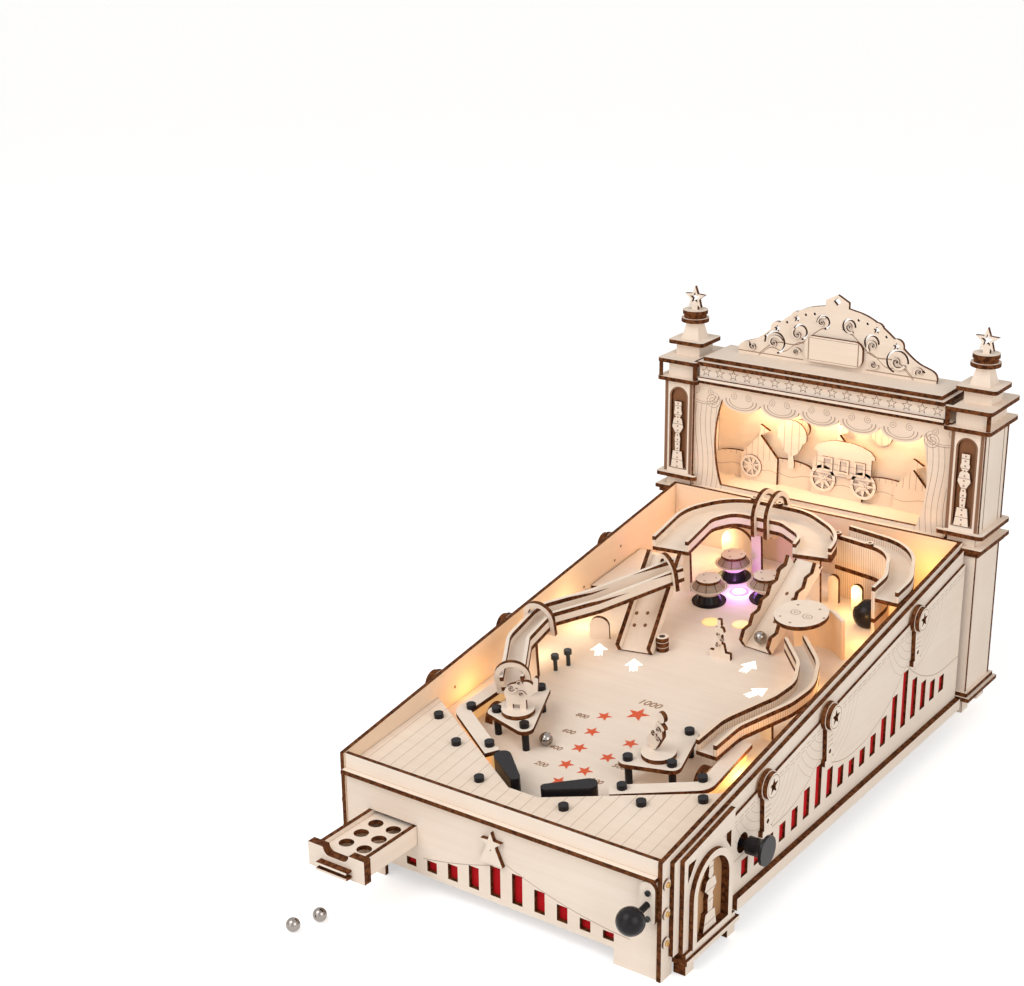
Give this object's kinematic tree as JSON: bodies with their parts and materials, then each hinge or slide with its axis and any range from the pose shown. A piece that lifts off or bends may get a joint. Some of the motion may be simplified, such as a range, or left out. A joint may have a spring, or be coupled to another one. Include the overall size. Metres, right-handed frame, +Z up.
{
  "type": "tabletop pinball game",
  "caption": "Tabletop plywood pinball game: sloping cabinet with ramps, tracks, bumpers, sprung flippers and plunger, a ball drawer, and a pillared back box with a pediment.",
  "frame": {"origin": "middle of the bounding box at table height", "axes": "+Z up, +Y from the player towards the back box, +X to the player's right"},
  "size_m": [0.279, 0.5342, 0.297],
  "materials": {
    "ply": "bare laser-cut plywood with brown edges",
    "dark_wood": "brown stained sheet",
    "red_card": "matte red sheet",
    "amber": "lit amber sheet",
    "gloss_black": "gloss black",
    "spring_steel": "drawn wire",
    "steel": "polished",
    "dark_plastic": "matte black",
    "board_green": "coated circuit board"
  },
  "bodies": {
    "cabinet": {"base_floor": "ply", "side_walls": "ply", "side_claddings": "ply", "side_swag_panels": "ply", "side_corbels": "ply", "base_rails": "ply", "niche_frames": "ply", "niche_figures": "ply", "front_panel": "ply", "front_trim": "ply", "back_panel": "ply", "playfield": "ply", "apron": "ply", "lane_guides": "ply", "sling_plates": "ply", "play_figures": "ply", "ramps": "ply", "upper_track_floors": "ply", "upper_track_walls": "ply", "side_track_floors": "ply", "side_track_walls": "ply", "track_posts": "ply", "track_hoops": "ply", "bumper_caps": "ply", "targets": "ply", "hood": "ply", "ball_lanes": "ply", "guide_blocks": "ply", "pillar_shafts": "ply", "pillar_plates": "ply", "stars": "ply", "stage_box": "ply", "scenery": "ply", "stage_front": "ply", "entablature": "ply", "pediment": "ply", "niche_backs": "dark_wood", "red_liners": "red_card", "amber_walls": "amber", "play_bolts": "gloss_black", "bumper_bases": "gloss_black", "black_domes": "gloss_black", "left_return_spring": "spring_steel", "right_return_spring": "spring_steel", "plunger_spring": "spring_steel", "steel_balls": "steel", "battery_box": "dark_plastic", "sound_board": "board_green"},
    "left_flipper": {"left_flipper": "gloss_black", "left_crank": "ply"},
    "right_flipper": {"right_flipper": "gloss_black", "right_crank": "ply"},
    "left_button": {"left_button": "gloss_black", "left_push_rod": "ply"},
    "right_button": {"right_button": "gloss_black", "right_push_rod": "ply"},
    "plunger": {"plunger": "gloss_black"},
    "ball_drawer": {"drawer_front": "ply", "drawer_tray": "ply"},
    "power_switch": {"power_switch": "dark_plastic"}
  },
  "joints": [
    {"name": "left_flipper_swing", "type": "hinge", "parent": "cabinet", "child": "left_flipper", "pos_m": [-0.032, -0.12628, 0.06109], "axis": [0, -0.0981, 0.9952], "range_deg": [0, 50.1]},
    {"name": "right_flipper_swing", "type": "hinge", "parent": "cabinet", "child": "right_flipper", "pos_m": [0.032, -0.12628, 0.06109], "axis": [0, 0.0981, -0.9952], "range_deg": [0, 50.1]},
    {"name": "left_button_press", "type": "slide", "parent": "cabinet", "child": "left_button", "axis": [1, 0, 0], "range_m": [0, 0.00845], "stiffness_N_per_m": 250, "springref_m": -0.002, "deforming": ["left_return_spring"]},
    {"name": "right_button_press", "type": "slide", "parent": "cabinet", "child": "right_button", "axis": [-1, 0, 0], "range_m": [0, 0.00845], "stiffness_N_per_m": 250, "springref_m": -0.002, "deforming": ["right_return_spring"]},
    {"name": "plunger_pull", "type": "slide", "parent": "cabinet", "child": "plunger", "axis": [0, -0.9952, -0.0981], "range_m": [0, 0.022], "stiffness_N_per_m": 150, "springref_m": -0.003, "deforming": ["plunger_spring"]},
    {"name": "drawer_slide", "type": "slide", "parent": "cabinet", "child": "ball_drawer", "axis": [0, 1, 0], "range_m": [0, 0.0475]},
    {"name": "power_switch_slide", "type": "slide", "parent": "cabinet", "child": "power_switch", "axis": [1, 0, 0], "range_m": [0, 0.003]}
  ],
  "couplings": [
    {"joint": "left_flipper_swing", "follows": "left_button_press", "rad_per_m": 103.25},
    {"joint": "right_flipper_swing", "follows": "right_button_press", "rad_per_m": 103.25}
  ]
}
